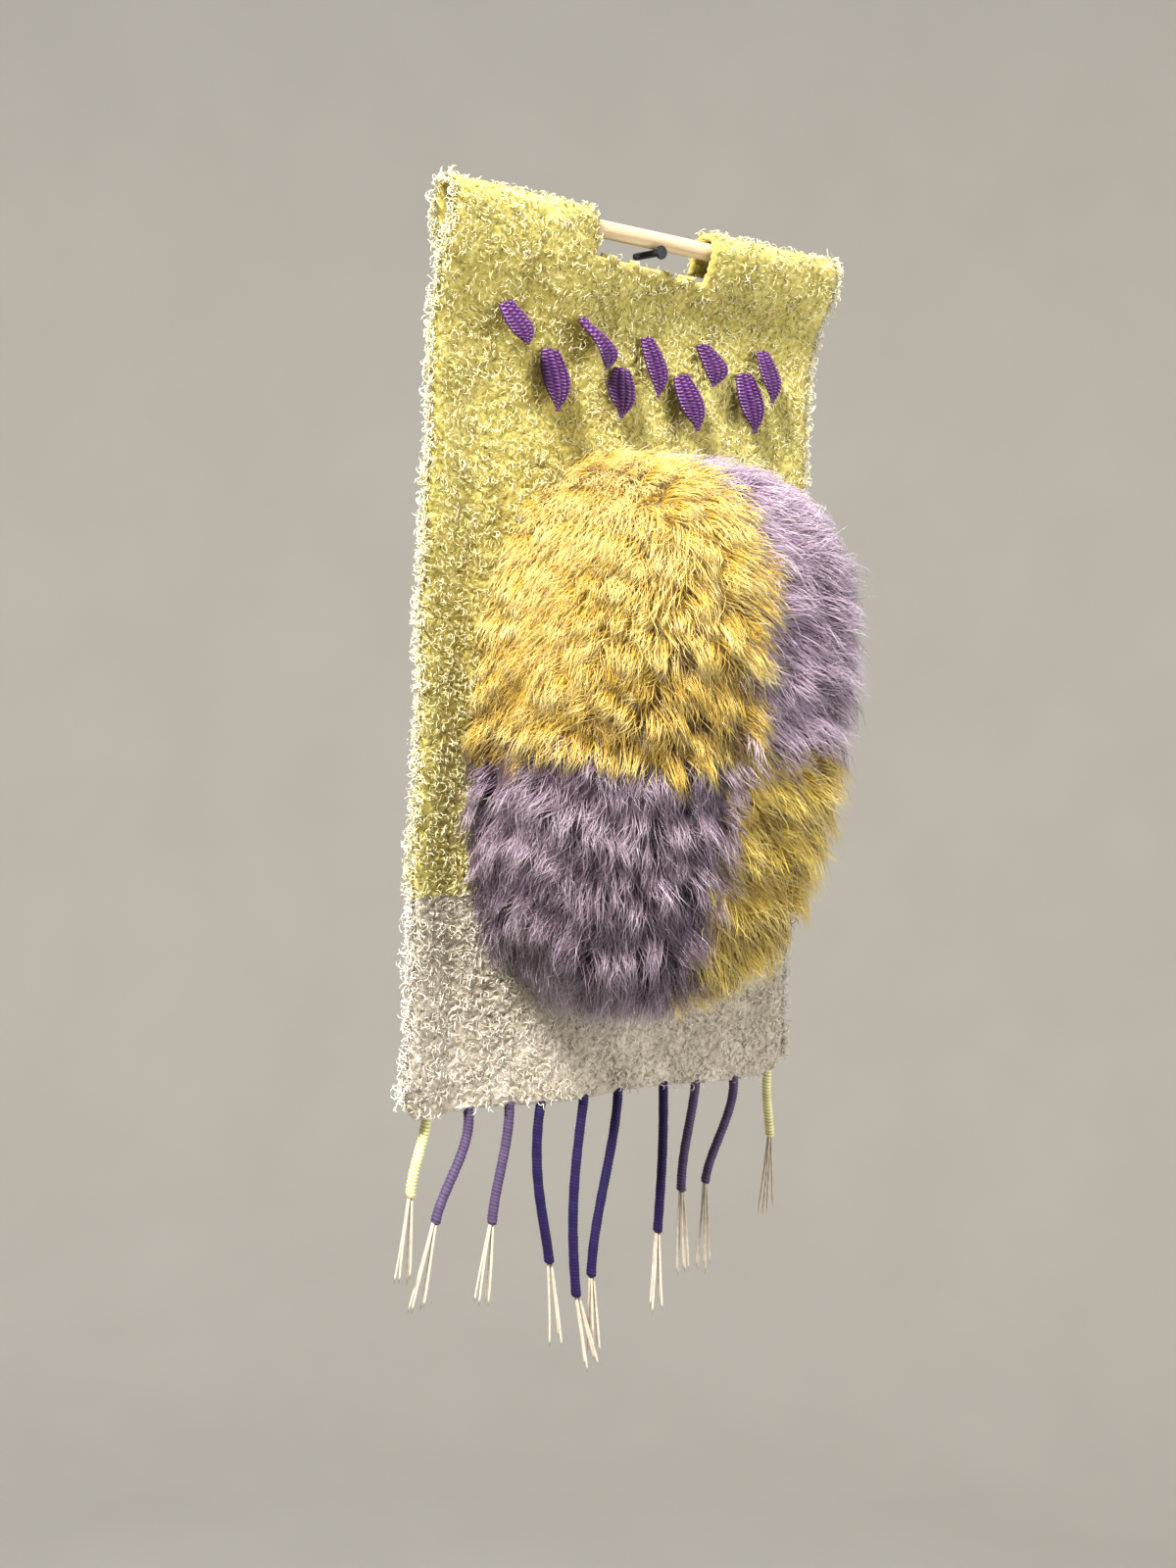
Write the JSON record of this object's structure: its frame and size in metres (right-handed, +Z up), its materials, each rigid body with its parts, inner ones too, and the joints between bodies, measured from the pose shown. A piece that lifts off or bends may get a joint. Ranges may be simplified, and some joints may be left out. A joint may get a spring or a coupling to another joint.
{
  "type": "textile wall hanging on a wooden rod and nail",
  "caption": "Handwoven boucle wall hanging with a domed long pile in coloured quarters, needle-woven leaves and a wrapped fringe, on a wooden rod over a nail.",
  "frame": {"origin": "where the nail enters the wall, the centre of the nail's back end", "axes": "+Z up along the height, the wall is the plane Y = 0, the hanging faces -Y, +X is to the right of someone who looks at its face"},
  "size_m": [0.202, 0.0852, 0.4597],
  "materials": {
    "boucle_cloth": "matte looped boucle weave, pale yellow above a beige band",
    "pine_dowel": "raw pine, fine straight grain",
    "black_nail": "black, half gloss",
    "gold_pile": "long soft mohair-like pile",
    "lilac_pile": "long soft mohair-like pile",
    "mustard_pile": "long soft mohair-like pile",
    "purple_thread": "glossy purple embroidery thread",
    "yellow_wrap": "close wrapped thread, loose cotton ends",
    "grey_lilac_wrap": "close wrapped thread, loose cotton ends",
    "violet_wrap": "close wrapped thread, loose cotton ends"
  },
  "bodies": {
    "root": {"cloth": "boucle_cloth", "rod": "pine_dowel", "nail": "black_nail", "pile_gold": "gold_pile", "pile_lilac_upper": "lilac_pile", "pile_lilac_lower": "lilac_pile", "pile_mustard": "mustard_pile", "leaf_1": "purple_thread", "leaf_2": "purple_thread", "leaf_3": "purple_thread", "leaf_4": "purple_thread", "leaf_5": "purple_thread", "leaf_6": "purple_thread", "leaf_7": "purple_thread", "leaf_8": "purple_thread", "leaf_9": "purple_thread", "tassel_1": "yellow_wrap", "tassel_2": "grey_lilac_wrap", "tassel_3": "grey_lilac_wrap", "tassel_4": "violet_wrap", "tassel_5": "violet_wrap", "tassel_6": "violet_wrap", "tassel_7": "violet_wrap", "tassel_8": "grey_lilac_wrap", "tassel_9": "grey_lilac_wrap", "tassel_10": "yellow_wrap"}
  },
  "joints": []
}
